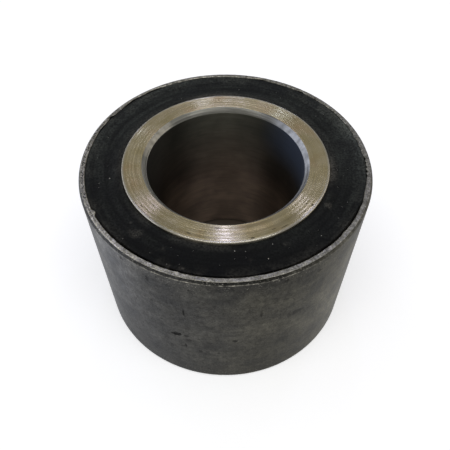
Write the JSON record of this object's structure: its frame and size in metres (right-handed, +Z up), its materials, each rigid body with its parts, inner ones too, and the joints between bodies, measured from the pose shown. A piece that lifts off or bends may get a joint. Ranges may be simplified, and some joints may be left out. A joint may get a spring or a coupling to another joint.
{
  "type": "rubber bushing",
  "caption": "Cylindrical rubber-to-metal bushing: thin steel outer sleeve, bonded black rubber ring and thick steel inner tube with a chamfered bore.",
  "frame": {"origin": "centre of the bushing's lower end face", "axes": "+Z up along the bore's axis; the part is round about Z, so X and Y are free"},
  "size_m": [0.055, 0.055, 0.037],
  "materials": {
    "sleeve_steel": "drawn steel tube with a dull grey mill finish, scuffed",
    "rubber": "moulded black rubber, matt",
    "tube_steel": "bright turned steel with a warm cast on the end face"
  },
  "bodies": {
    "root": {"outer_sleeve": "sleeve_steel", "rubber_element": "rubber", "inner_tube": "tube_steel"}
  },
  "joints": []
}
